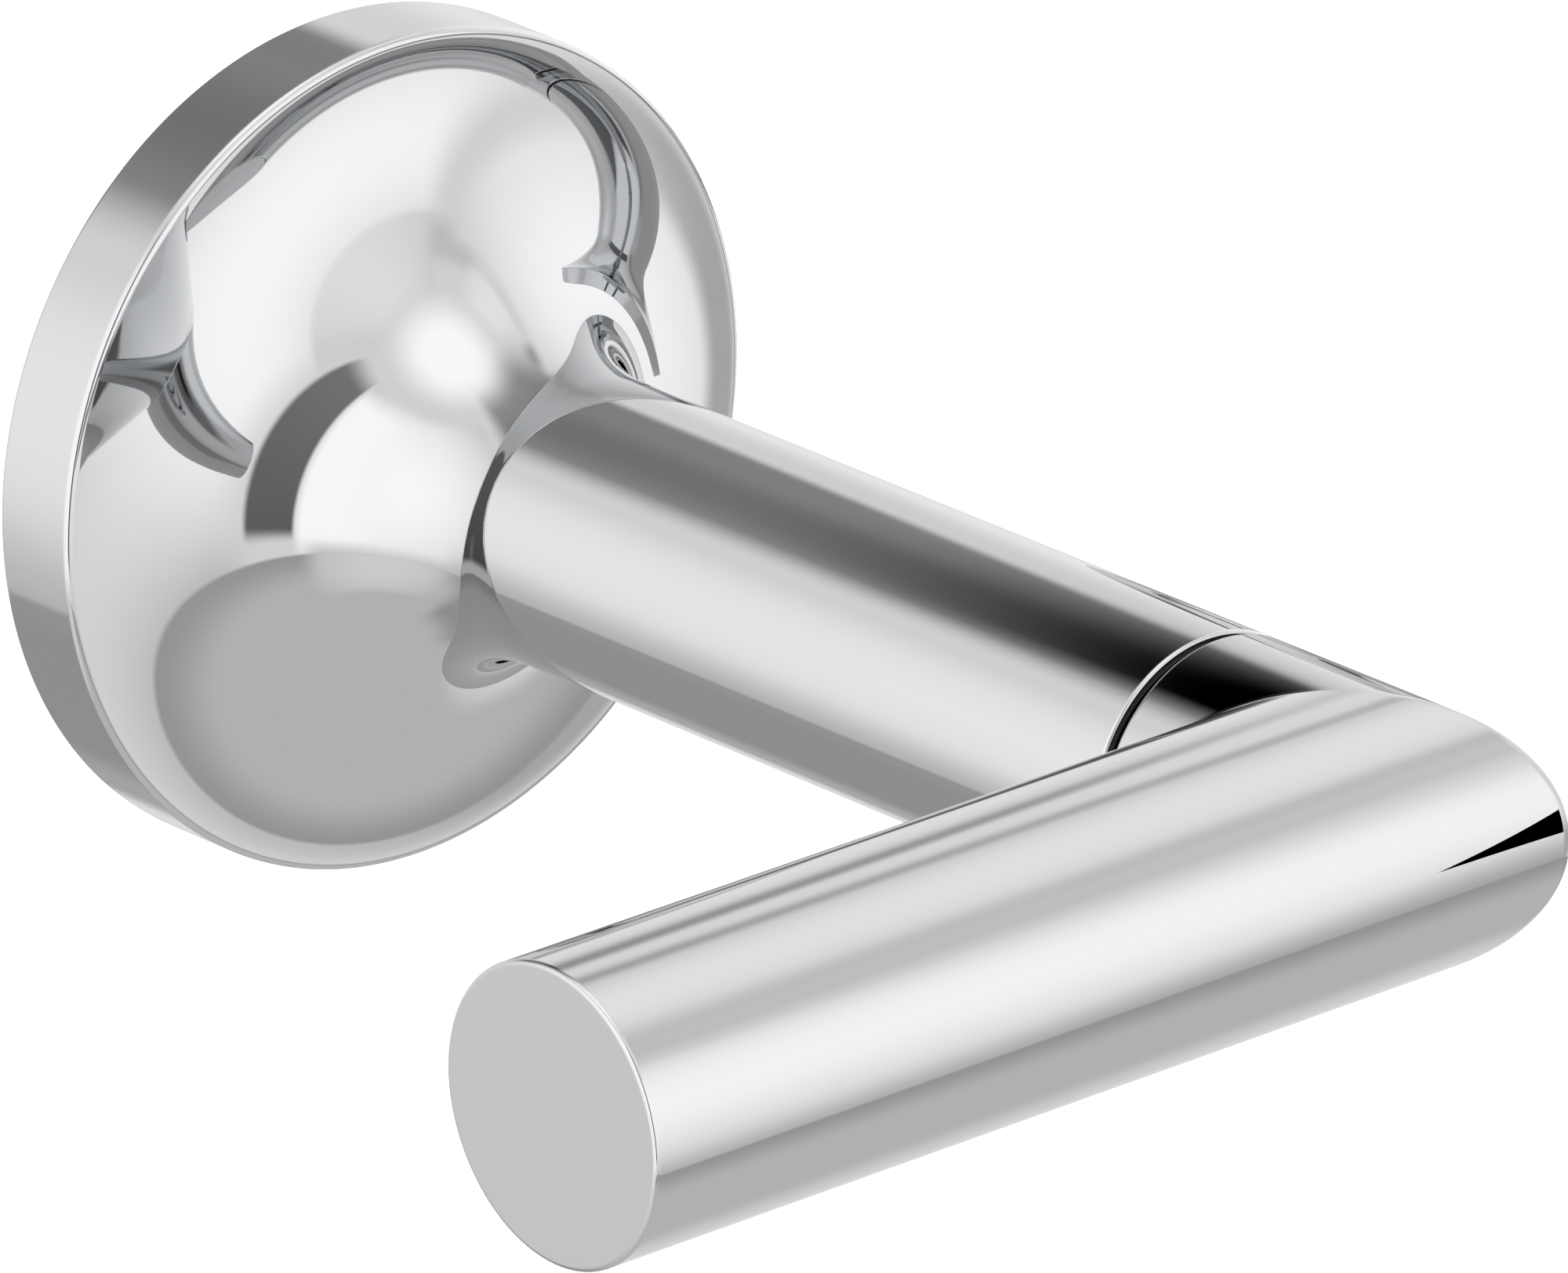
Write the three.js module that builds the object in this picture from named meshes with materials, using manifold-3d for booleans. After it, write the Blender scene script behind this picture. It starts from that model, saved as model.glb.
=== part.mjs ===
// Wall-mounted toilet paper holder: a bell-shaped flange and post in one casting, an L-shaped arm
// that lifts about the post's axis, and the bracket, screws and plugs that hold it on the wall.
// Millimetres. The wall is the plane Y = 0, the post runs along -Y, the arm along -X and +Z is up.
import * as THREE from 'three';
import { mergeVertices } from 'three/addons/utils/BufferGeometryUtils.js';
import Module from 'manifold-3d';

const wasm = await Module();
wasm.setup();

// ---- Driving dimensions ----
const postRadius = 12;        // outside of the post and of the arm
const wallToArm = 119.4;      // wall to the arm's centre line
const armReach = 79;          // post's centre line to the arm's end face
const flangeRadius = 34.7;
const rimThickness = 8.4;     // the flange's straight round edge
const rimRounding = 0.55;     // between that edge and the bell
const bellDepth = 30.4;       // wall to where the bell has become the plain post
const flareAngle = 1.8;       // degrees that the bell rises where it leaves the rim
const flareReach = 10.6;      // how long the bell keeps the rim's slope
const flareRise = 14;         // how long the bell keeps the post's line
const castWall = 3;           // wall of the flange and post casting
const tubeWall = 1.8;         // wall of the elbow and arm tube
const seamToArm = 15.38;      // the visible joint to the arm's centre line
const seamWidth = 0.85;       // the joint's open gap
const seamRecess = 0.8;       // how far the washer in the joint lies below the surface
const liftAngle = 90;         // degrees that the arm lifts

// ---- Hardware ----
const bushLength = 16;
const bushLip = 1.5;          // how far the bush's collar stands past its barrel
const bushCollar = 2.5;       // thickness of that collar
const nutRoom = 1.5;          // between the nut's corners and the post's bore
const nutWall = 3.5;          // the nut's corner to its thread
const nutHeight = 6;
const nutInsert = 2;          // the round nylon end of the nut
const washerThickness = 1.2;
const waveThickness = 0.5;
const waveHeight = 0.35;      // how far the wave washer bows each way
const waveCount = 3;
const spindleTail = 2;        // thread left past the nut
const spindleShoulder = 1;    // the spindle's thread in the plug is this much larger
const spindleChamfer = 0.6;
const plugLength = 8;
const stopPinRadius = 1.5;
const stopPinLength = 8;
const slotDepth = 2.2;        // the stop pin's slot in the bush
const capThickness = 2;
const capSpigot = 5;
const bracketPlate = 2.5;     // thickness of the bracket's plate
const bracketLip = 2.2;       // thickness of its raised lip
const bracketUndercut = 1.2;  // how far the lip leans in at the wall
const lugLength = 7.75;       // the threaded lug inside the flange
const lugWidth = 11;
const lugOffWall = 0.6;
const setScrewRadius = 2.5;
const setScrewSink = 1.2;     // how far the set screw lies below the rim
const setScrewTip = 1.2;
const socketRadius = 1.45;    // corner radius of the hexagon socket
const socketDepth = 2.5;
const woodScrewRadius = 2;
const woodScrewReach = 20;    // how far the wood screws go into the wall
const woodScrewPoint = 4;
const headRadius = 3.8;
const headHeight = 2.6;
const headTaper = 0.75;       // the head's flat top as a share of its width
const driverRoom = 3.4;       // between a screw's head and the bracket's lip
const crossWidth = 1;
const crossSpan = 4.2;
const crossDepth = 1.6;
const wallPlugWall = 1;
const wallPlugCollar = 0.9;
const wallPlugSlit = 0.8;
const wallPlugWhole = 7;      // length of the wall plug that isn't slit

// ---- Clearances ----
const runGap = 0.05;          // around a shaft that turns in its hole
const pressGap = 0.05;        // around a piece that is pressed or screwed in
const faceGap = 0.1;          // between faces that bear on each other
const holeGap = 0.25;         // around a wood screw in the bracket
const pinGap = 0.1;           // around the stop pin in its slot
const lugGap = 0.5;           // between the lug and the bracket's lip
const overshoot = 1;          // how far a cutting shape reaches past what it cuts

// ---- How finely round shapes are divided ----
const flangeSides = 56;
const tubeSides = 40;
const smallSides = 24;
const bellSteps = 10;
const hexSides = 6;
const roundSteps = 3;
const weldDistance = 1e-4;

// ---- Values that follow ----
const seamNear = wallToArm - seamToArm;                 // the post's end face
const seamFar = seamNear + seamWidth;                   // the stub's end face
const postBore = postRadius - castWall;
const tubeBore = postRadius - tubeWall;
const bushRear = seamNear - bushLength;
const nutRadius = postBore - nutRoom;
const spindleRadius = nutRadius - nutWall;
const waveRear = bushRear - 2 * faceGap - 2 * waveHeight - waveThickness;
const washerRear = waveRear - washerThickness;
const nutRear = washerRear - faceGap - nutHeight - nutInsert;
const bushCollarRadius = postBore + bushLip;
const stopOrbit = (spindleRadius + bushCollarRadius) / 2;
const cavityRadius = flangeRadius - rimRounding - castWall;
const bracketRadius = cavityRadius - lugLength;
const bracketHeight = rimThickness - castWall;
const setScrewDepth = rimThickness / 2;
const screwOffset = bracketRadius - bracketLip - driverRoom - headRadius;
const plugEnd = seamFar + faceGap + plugLength;

const radians = THREE.MathUtils.degToRad;

// ---- Materials ----
function finish(color, roughness, metalness) {
  return new THREE.MeshStandardMaterial({ color, roughness, metalness });
}
const chrome = finish(0xe6e7ea, 0.04, 1);
const zincSteel = finish(0xb9bcc0, 0.35, 1);
const brass = finish(0xc9a24e, 0.3, 1);
const springSteel = finish(0x8d9094, 0.3, 1);
const blackNylon = finish(0x151516, 0.5, 0);
const greyNylon = finish(0x9a9da1, 0.6, 0);

// ---- Solids ----
function solidOf(geometry) {
  const bare = geometry.clone();
  bare.deleteAttribute('normal');
  bare.deleteAttribute('uv');
  const merged = mergeVertices(bare, weldDistance);
  const corners = merged.index.array;
  const kept = [];
  for (let i = 0; i < corners.length; i += 3) {
    const [a, b, c] = [corners[i], corners[i + 1], corners[i + 2]];
    if (a !== b && b !== c && c !== a) {
      kept.push(a, b, c);
    }
  }
  return new wasm.Manifold(new wasm.Mesh({
    numProp: 3,
    vertProperties: merged.attributes.position.array,
    triVerts: Uint32Array.from(kept),
  }));
}

function geometryOf(solid) {
  const mesh = solid.getMesh();
  const geometry = new THREE.BufferGeometry();
  geometry.setAttribute('position', new THREE.BufferAttribute(mesh.vertProperties, 3));
  geometry.setIndex(new THREE.BufferAttribute(mesh.triVerts, 1));
  geometry.computeVertexNormals();
  return geometry;
}

// A shape turned about the Y axis from its outline of [radius, depth], where depth counts along -Y.
function turned(outline, sides, closed = false) {
  const points = outline.map(([radius, depth]) => new THREE.Vector2(radius, -depth));
  if (THREE.ShapeUtils.area(points) < 0) {
    points.reverse();
  }
  if (closed) {
    points.push(points[0].clone());
  }
  return new THREE.LatheGeometry(points, sides);
}

// A cylinder about a line parallel to Y, between two depths.
function rod(radius, from, to, sides, x = 0, z = 0) {
  const geometry = new THREE.CylinderGeometry(radius, radius, to - from, sides);
  return geometry.translate(x, -(from + to) / 2, z);
}

// The bell's curve from the rim to the post, as [radius, depth].
function bellCurve() {
  const rise = radians(flareAngle);
  const start = new THREE.Vector2(flangeRadius - rimRounding, rimThickness);
  const leave = new THREE.Vector2(-Math.cos(rise), Math.sin(rise)).multiplyScalar(flareReach);
  const curve = new THREE.CubicBezierCurve(
    start,
    start.clone().add(leave),
    new THREE.Vector2(postRadius, bellDepth - flareRise),
    new THREE.Vector2(postRadius, bellDepth),
  );
  return curve.getPoints(bellSteps).map((point) => [point.x, point.y]);
}

// A round bar bent sharply at a mitre about the origin: from +Y round to -X.
function mitredBar(radius, stubLength, armLength) {
  const geometry = new THREE.CylinderGeometry(radius, radius, 2, tubeSides, 2);
  const position = geometry.attributes.position;
  for (let i = 0; i < position.count; i += 1) {
    const across = position.getX(i);
    const station = Math.round(position.getY(i));
    const x = station < 0 ? -armLength : across;
    const y = station > 0 ? stubLength : -across;
    position.setXYZ(i, x, y, position.getZ(i));
  }
  return solidOf(geometry);
}

// ---- Pieces that stay with the wall ----
function flangePost() {
  const bell = bellCurve();
  const rounding = [];
  for (let i = 1; i < roundSteps; i += 1) {
    const angle = (Math.PI / 2) * (i / roundSteps);
    rounding.push([
      flangeRadius - rimRounding * (1 - Math.cos(angle)),
      rimThickness - rimRounding * (1 - Math.sin(angle)),
    ]);
  }
  const inside = bell.map(([radius, depth]) => [radius - castWall, depth - castWall]).reverse();
  const collarSeat = bushCollarRadius + pressGap;
  const seatDepth = seamNear - bushCollar - pressGap;
  const casting = solidOf(turned([
    [flangeRadius, 0],
    [flangeRadius, rimThickness - rimRounding],
    ...rounding,
    ...bell,
    [postRadius, seamNear],
    [collarSeat, seamNear],
    [collarSeat, seatDepth],
    [postBore, seatDepth],
    ...inside,
    [cavityRadius, 0],
  ], flangeSides, true));
  const lugTop = bracketRadius + lugGap;
  const lugBottom = cavityRadius + castWall / 2;
  const lug = new THREE.BoxGeometry(lugWidth, bracketHeight, lugBottom - lugTop);
  lug.translate(0, -(lugOffWall + bracketHeight / 2), -(lugTop + lugBottom) / 2);
  const threadHole = rod(
    setScrewRadius + pressGap,
    lugTop - overshoot,
    flangeRadius + overshoot,
    smallSides,
  );
  threadHole.rotateX(Math.PI / 2).translate(0, -setScrewDepth, 0);
  return casting.add(solidOf(lug)).subtract(solidOf(threadHole));
}

function wallBracket() {
  const plate = solidOf(turned([
    [0, 0],
    [bracketRadius - bracketUndercut, 0],
    [bracketRadius, bracketHeight],
    [bracketRadius - bracketLip, bracketHeight],
    [bracketRadius - bracketLip, bracketPlate],
    [0, bracketPlate],
  ], tubeSides));
  const holeRadius = woodScrewRadius + holeGap;
  const through = bracketPlate + overshoot;
  const upper = rod(holeRadius, -overshoot, through, smallSides, 0, screwOffset);
  const lower = rod(holeRadius, -overshoot, through, smallSides, 0, -screwOffset);
  return plate.subtract(solidOf(upper)).subtract(solidOf(lower));
}

// The wood screw stands on the origin's axis; each copy is moved to its hole.
function woodScrew() {
  const seat = bracketPlate + faceGap;
  const top = seat + headHeight;
  const body = solidOf(turned([
    [0, -woodScrewReach],
    [woodScrewRadius, woodScrewPoint - woodScrewReach],
    [woodScrewRadius, seat],
    [headRadius, seat],
    [headRadius, seat + headHeight / 2],
    [headRadius * headTaper, top],
    [0, top],
  ], smallSides));
  const across = new THREE.BoxGeometry(crossSpan, 2 * crossDepth, crossWidth).translate(0, -top, 0);
  const upright = new THREE.BoxGeometry(crossWidth, 2 * crossDepth, crossSpan).translate(0, -top, 0);
  return body.subtract(solidOf(across)).subtract(solidOf(upright));
}

function wallPlug() {
  const bore = woodScrewRadius + pressGap;
  const outside = bore + wallPlugWall;
  const sleeve = solidOf(turned([
    [bore, -faceGap],
    [outside + wallPlugCollar, -faceGap],
    [outside, -faceGap - wallPlugCollar],
    [outside, -woodScrewReach],
    [bore, -woodScrewReach],
  ], smallSides, true));
  const slitLength = woodScrewReach - wallPlugWhole + overshoot;
  const slit = new THREE.BoxGeometry(2 * outside + overshoot, slitLength, wallPlugSlit);
  slit.translate(0, wallPlugWhole + slitLength / 2, 0);
  return sleeve.subtract(solidOf(slit));
}

// The set screw points up from the rim's underside to the bracket's lip.
function setScrew() {
  const tip = bracketRadius + faceGap;
  const end = flangeRadius - setScrewSink;
  const chamfer = setScrewRadius - setScrewTip;
  const body = solidOf(turned([
    [0, tip],
    [setScrewTip, tip],
    [setScrewRadius, tip + chamfer],
    [setScrewRadius, end],
    [0, end],
  ], smallSides));
  return body.subtract(solidOf(rod(socketRadius, end - socketDepth, end + overshoot, hexSides)));
}

function pivotBush() {
  const barrel = postBore - pressGap;
  const bore = spindleRadius + runGap;
  const sleeve = solidOf(turned([
    [barrel, bushRear],
    [barrel, seamNear - bushCollar],
    [bushCollarRadius, seamNear - bushCollar],
    [bushCollarRadius, seamNear],
    [bore, seamNear],
    [bore, bushRear],
  ], tubeSides, true));
  return sleeve.subtract(solidOf(stopSlot()));
}

// The slot that the stop pin travels in, from straight below the axis to the arm's side.
function stopSlot() {
  const half = stopPinRadius + pinGap;
  const first = -Math.PI / 2;
  const last = first - radians(liftAngle);
  const firstX = stopOrbit * Math.cos(first);
  const firstZ = stopOrbit * Math.sin(first);
  const lastX = stopOrbit * Math.cos(last);
  const lastZ = stopOrbit * Math.sin(last);
  const shape = new THREE.Shape();
  shape.absarc(0, 0, stopOrbit + half, first, last, true);
  shape.absarc(lastX, lastZ, half, last, last - Math.PI, true);
  shape.absarc(0, 0, stopOrbit - half, last, first, false);
  shape.absarc(firstX, firstZ, half, first + Math.PI, first, true);
  const slot = new THREE.ExtrudeGeometry(shape, {
    depth: slotDepth + overshoot,
    bevelEnabled: false,
    curveSegments: smallSides,
  });
  return slot.rotateX(Math.PI / 2).translate(0, slotDepth - seamNear, 0);
}

// ---- Pieces that lift with the arm ----
// The elbow tube is made about the corner where the two centre lines meet.
function armElbow() {
  const stubLength = wallToArm - seamFar;
  const tubeLength = armReach - capThickness;
  const bore = mitredBar(tubeBore, stubLength + overshoot, tubeLength + overshoot);
  return mitredBar(postRadius, stubLength, tubeLength).subtract(bore);
}

function armEndCap() {
  const face = armReach - capThickness;
  return turned([
    [0, face - capSpigot],
    [tubeBore - pressGap, face - capSpigot],
    [tubeBore - pressGap, face],
    [postRadius, face],
    [postRadius, armReach],
    [0, armReach],
  ], tubeSides);
}

function elbowPlug() {
  const start = seamFar + faceGap;
  const body = solidOf(rod(tubeBore - pressGap, start, plugEnd, tubeSides));
  const threadRadius = spindleRadius + spindleShoulder + pressGap;
  const through = plugEnd + overshoot;
  const thread = rod(threadRadius, start - overshoot, through, smallSides);
  const pinRadius = stopPinRadius + pressGap;
  const pinHole = rod(pinRadius, start - overshoot, through, smallSides, 0, -stopOrbit);
  return body.subtract(solidOf(thread)).subtract(solidOf(pinHole));
}

function spindle() {
  const shoulder = seamFar + faceGap;
  return turned([
    [0, nutRear - spindleTail],
    [spindleRadius - spindleChamfer, nutRear - spindleTail],
    [spindleRadius, nutRear - spindleTail + spindleChamfer],
    [spindleRadius, shoulder],
    [spindleRadius + spindleShoulder, shoulder],
    [spindleRadius + spindleShoulder, plugEnd],
    [0, plugEnd],
  ], smallSides);
}

function stopPin() {
  const tip = seamNear - slotDepth + pinGap;
  return rod(stopPinRadius, tip, tip + stopPinLength, smallSides, 0, -stopOrbit);
}

function thrustWasher() {
  const start = seamNear + faceGap;
  const end = seamFar - faceGap;
  const disc = solidOf(rod(postRadius - seamRecess, start, end, tubeSides));
  const through = end + overshoot;
  const bore = rod(spindleRadius + pressGap, start - overshoot, through, smallSides);
  const pinRadius = stopPinRadius + pressGap;
  const pinHole = rod(pinRadius, start - overshoot, through, smallSides, 0, -stopOrbit);
  return disc.subtract(solidOf(bore)).subtract(solidOf(pinHole));
}

function waveWasher() {
  const bore = spindleRadius + pressGap;
  const middle = bushRear - faceGap - waveHeight - waveThickness / 2;
  const geometry = turned([
    [bore, middle - waveThickness / 2],
    [nutRadius, middle - waveThickness / 2],
    [nutRadius, middle + waveThickness / 2],
    [bore, middle + waveThickness / 2],
  ], tubeSides, true);
  const position = geometry.attributes.position;
  for (let i = 0; i < position.count; i += 1) {
    const angle = Math.atan2(position.getX(i), position.getZ(i));
    position.setY(i, position.getY(i) + waveHeight * Math.sin(waveCount * angle));
  }
  return geometry;
}

function flatWasher() {
  const bore = spindleRadius + pressGap;
  return turned([
    [bore, washerRear],
    [nutRadius, washerRear],
    [nutRadius, waveRear],
    [bore, waveRear],
  ], tubeSides, true);
}

function lockNut() {
  const front = washerRear - faceGap;
  const shoulder = front - nutHeight;
  const hexagon = solidOf(rod(nutRadius, shoulder, front, hexSides));
  const insertRadius = spindleRadius + nutWall / 2;
  const insert = solidOf(rod(insertRadius, nutRear, shoulder + overshoot, smallSides));
  const thread = rod(
    spindleRadius + pressGap,
    nutRear - overshoot,
    front + overshoot,
    smallSides,
  );
  return hexagon.add(insert).subtract(solidOf(thread));
}

// ---- Assembly ----
const holder = new THREE.Group();
const arm = new THREE.Group();
holder.add(arm);

function place(group, name, shape, material, x = 0, y = 0, z = 0) {
  const geometry = shape.isBufferGeometry ? shape : geometryOf(shape);
  const mesh = new THREE.Mesh(geometry, material);
  mesh.name = name;
  mesh.position.set(x, y, z);
  group.add(mesh);
  return mesh;
}

place(holder, 'flange_post', flangePost(), chrome);
place(holder, 'wall_bracket', wallBracket(), zincSteel);
for (const [end, side] of [['upper', 1], ['lower', -1]]) {
  place(holder, `wall_screw_${end}`, woodScrew(), zincSteel, 0, 0, side * screwOffset);
  place(holder, `wall_plug_${end}`, wallPlug(), greyNylon, 0, 0, side * screwOffset);
}
const grub = place(holder, 'set_screw', setScrew(), springSteel, 0, -setScrewDepth, 0);
grub.rotation.x = Math.PI / 2;
place(holder, 'pivot_bush', pivotBush(), brass);

place(arm, 'arm_elbow', armElbow(), chrome, 0, -wallToArm, 0);
const cap = place(arm, 'arm_end_cap', armEndCap(), chrome, 0, -wallToArm, 0);
cap.rotation.z = -Math.PI / 2;
place(arm, 'elbow_plug', elbowPlug(), brass);
place(arm, 'spindle', spindle(), zincSteel);
place(arm, 'stop_pin', stopPin(), springSteel);
place(arm, 'thrust_washer', thrustWasher(), blackNylon);
place(arm, 'wave_washer', waveWasher(), springSteel);
place(arm, 'flat_washer', flatWasher(), zincSteel);
place(arm, 'lock_nut', lockNut(), zincSteel);

export default holder;
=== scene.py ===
# Wall-mounted toilet paper holder in polished chrome: a bell flange and post, and an arm that
# lifts. Metres. The wall is the plane Y = 0, the post runs along -Y, the arm along -X, +Z is up.
import math

import bmesh
import bpy
from mathutils import Matrix, Vector


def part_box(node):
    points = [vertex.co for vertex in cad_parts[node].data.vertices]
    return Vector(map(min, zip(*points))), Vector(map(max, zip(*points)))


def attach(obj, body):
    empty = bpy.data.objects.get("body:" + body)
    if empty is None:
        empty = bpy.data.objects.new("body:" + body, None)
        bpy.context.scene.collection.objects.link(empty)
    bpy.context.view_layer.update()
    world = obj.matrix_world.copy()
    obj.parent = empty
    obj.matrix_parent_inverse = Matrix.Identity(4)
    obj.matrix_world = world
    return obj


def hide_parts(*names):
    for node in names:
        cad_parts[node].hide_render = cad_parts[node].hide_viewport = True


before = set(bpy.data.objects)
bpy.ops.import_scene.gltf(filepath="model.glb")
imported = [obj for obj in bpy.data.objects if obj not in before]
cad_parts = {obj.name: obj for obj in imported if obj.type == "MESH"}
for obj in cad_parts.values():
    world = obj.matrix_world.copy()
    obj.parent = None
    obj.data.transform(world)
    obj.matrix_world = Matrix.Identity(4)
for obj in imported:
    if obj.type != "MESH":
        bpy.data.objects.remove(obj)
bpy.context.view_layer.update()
mm = 0.001
print("frame loaded:", len(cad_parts), "nodes")

# Sizes that the frame gives
flangeLow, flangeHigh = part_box("flange_post")
elbowLow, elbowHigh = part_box("arm_elbow")
capLow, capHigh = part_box("arm_end_cap")
washerLow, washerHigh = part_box("thrust_washer")
bracketLow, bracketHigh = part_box("wall_bracket")
flangeRadius = flangeHigh.x
postRadius = capHigh.z
seamNear = -flangeLow.y                    # the post's end face
seamFar = -elbowHigh.y                     # the end face of the arm's stub
wallToArm = -(capLow.y + capHigh.y) / 2
armReach = -capLow.x
tubeEnd = -elbowLow.x                      # where the tube stops
bracketRadius = bracketHigh.x


# Camera
cameraSetup = {
    "sensor": 36,
    "lens": 521.1,
    "turn": -40.32,                        # degrees round the object, from straight in front
    "rise": 21.78,                         # degrees above the horizon
    "tilt": -1.17,                         # degrees of roll
    "distance": 1.7592,
    "sideways": -4.85 * mm,                # of the point it looks at
    "upwards": 0.38 * mm,
    "clip": (0.1, 100),
}


def makeCamera(s):
    camera = bpy.data.cameras.new("holder_camera")
    camera.sensor_width = s["sensor"]
    camera.lens = s["lens"]
    camera.clip_start, camera.clip_end = s["clip"]
    holder = bpy.data.objects.new("holder_camera", camera)
    bpy.context.scene.collection.objects.link(holder)
    bpy.context.scene.camera = holder
    turn, rise, tilt = (math.radians(s[key]) for key in ("turn", "rise", "tilt"))
    backward = Vector((
        math.sin(turn) * math.cos(rise),
        -math.cos(turn) * math.cos(rise),
        math.sin(rise),
    ))
    level = Vector((0, 0, 1)).cross(backward).normalized()
    upward = backward.cross(level)
    across = math.cos(tilt) * level + math.sin(tilt) * upward
    upright = math.cos(tilt) * upward - math.sin(tilt) * level
    aim = Vector((s["sideways"], -wallToArm / 2, s["upwards"]))
    place = Matrix((across, upright, backward)).transposed().to_4x4()
    place.translation = aim + backward * s["distance"]
    holder.matrix_world = place


makeCamera(cameraSetup)
bpy.context.scene.view_settings.view_transform = "Standard"
print("camera placed")


# Shader helpers
class Wire:
    # a socket that can be used in sums: each operator adds a Math node
    def __init__(self, tree, socket):
        self.tree = tree
        self.socket = socket

    def maths(self, operation, *terms):
        node = self.tree.nodes.new("ShaderNodeMath")
        node.operation = operation
        for place, term in zip(node.inputs, terms):
            feed(self.tree, place, term)
        return Wire(self.tree, node.outputs[0])

    def __add__(self, other):
        return self.maths("ADD", self, other)

    def __radd__(self, other):
        return self.maths("ADD", other, self)

    def __sub__(self, other):
        return self.maths("SUBTRACT", self, other)

    def __rsub__(self, other):
        return self.maths("SUBTRACT", other, self)

    def __mul__(self, other):
        return self.maths("MULTIPLY", self, other)

    def __rmul__(self, other):
        return self.maths("MULTIPLY", other, self)

    def __truediv__(self, other):
        return self.maths("DIVIDE", self, other)

    def __pow__(self, other):
        return self.maths("POWER", self, other)

    def wrapped(self, low, high):
        return self.maths("WRAP", self, high, low)

    def stepped(self, start, end):         # 0 before start, 1 after end, smooth between
        node = self.tree.nodes.new("ShaderNodeMapRange")
        node.interpolation_type = "SMOOTHSTEP"
        for name, value in (("Value", self), ("From Min", start), ("From Max", end)):
            feed(self.tree, node.inputs[name], value)
        return Wire(self.tree, node.outputs[0])


def feed(tree, place, value):
    if isinstance(value, Wire):
        tree.links.new(value.socket, place)
    elif isinstance(value, (tuple, list)) and len(value) == 3 and place.type == "RGBA":
        place.default_value = (*value, 1)
    else:
        place.default_value = value


class Recipe:
    # a node tree that is filled one node at a time
    def __init__(self, owner):
        owner.use_nodes = True
        self.tree = owner.node_tree
        self.tree.nodes.clear()

    def node(self, kind, settings=None, inputs=None, output=0):
        # output names or numbers the one that is used; None gives all of them
        node = self.tree.nodes.new("ShaderNode" + kind)
        for name, value in (settings or {}).items():
            setattr(node, name, value)
        for name, value in (inputs or {}).items():
            feed(self.tree, node.inputs[name], value)
        if output is None:
            return [Wire(self.tree, socket) for socket in node.outputs]
        return Wire(self.tree, node.outputs[output])

    def mixed(self, share, dark, light):
        colours = {"Factor": share, 6: dark, 7: light}
        return self.node("Mix", {"data_type": "RGBA"}, colours, output=2)


# Studio
chromeTint = (0.53, 0.537, 0.545)


def softbox(azimuth, height, shade, soften, fall=(0, 0), lift=0):
    # azimuth and height are the edges in degrees, where 0 is straight in front and -90 the arm's
    # side; soften is how soft the left, right, lower and upper edges are; shade is what the chrome
    # shows, from 0 to 1; fall is how much darker it gets sideways and endways, and lift upwards
    return {
        "azimuth": azimuth, "height": height, "shade": shade,
        "soften": soften, "fall": fall, "lift": lift,
    }


studioSetup = {
    "gap": 0.81,                           # shade of the room between the softboxes
    "ceiling": 0.972,
    "ceilingFrom": 57,
    "ceilingTo": 80,
    "floor": 0.69,
    "floorAtHorizon": 0.577,
    "horizon": -31,
    "horizonFade": 14,
    "horizonEdge": 0.7,                    # half of how soft the line itself is
    "walls": [                             # each hangs in front of those before it
        softbox((40, 68), (35, 48), 0.735, (10, 14, 8, 8)),
        # dark end of the room
        softbox((133, 203), (20, 63), 0.49, (40, 16, 20, 18), (0, 0), 0.07),
        softbox((153, 197), (25, 46.5), 0.45, (26, 8, 10, 5), (-0.06, 0.03)),
        softbox((122, 135), (33, 47), 0.60, (10, 8, 10, 8)),
        # above the front and the right softbox
        softbox((-25, 44), (32, 60), 0.86, (20, 9, 3, 10), (0.07, 0)),
        softbox((67, 116), (46, 61), 0.875, (12, 20, 5, 10), (0.04, 0)),
        # left softbox
        softbox((-145, -55), (-43.5, 51), 0.967, (10, 5, 14, 9), (0.12, 0.10), 0.02),
        softbox((-90, -55), (-30, 45), 0.965, (34, 5, 20, 14)),
        # front softbox
        softbox((-28, 44), (-31, 32), 0.952, (22, 9, 2, 4), (0.02, 0.13), 0.065),
        # right softbox, with a grey edge on either side
        softbox((53, 140), (-34, 41), 0.96, (10, 10, 4, 7), (0.08, 0.08), -0.014),
        softbox((43, 59), (-36, -12), 0.64, (8, 10, 4, 16)),
        softbox((132.5, 143.5), (0, 30), 0.815, (7, 5, 20, 16), (-0.07, 0), -0.05),
        # doorway between the left and the front softbox
        softbox((-53.5, -33.6), (-23, 48), 0.404, (2, 3, 6, 14), (0, 0), 0.045),
        # low, behind the arm's side
        softbox((-190, -132), (-50, -25.5), 0.66, (30, 16, 2, 30)),
    ],
    "ground": [
        softbox((-136, -60), (-52, -28), 0.793, (20, 12, 6, 10), (0.07, 0.02), 0.016),
        softbox((164, 214), (-60, -32), 0.555, (20, 14, 14, 8)),
        softbox((101, 153), (-52, -28), 0.81, (24, 8, 8, 5), (0, 0), 0.06),
    ],
    "behind": (0.597, 0.711, -0.371),      # direction behind the object as the camera sees it
    "backdrop": 1.0,                       # what the camera sees past the object
    "floorLevel": -2.2,
    "floorSize": 30,
    "floorPaint": (0.9, 0.9, 0.9),
}


def lightFor(shade):
    # the light that the chrome turns into this shade of the display's curve, where 1 is white
    return ((shade + 0.055) / 1.055) ** 2.4 / chromeTint[1]


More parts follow.
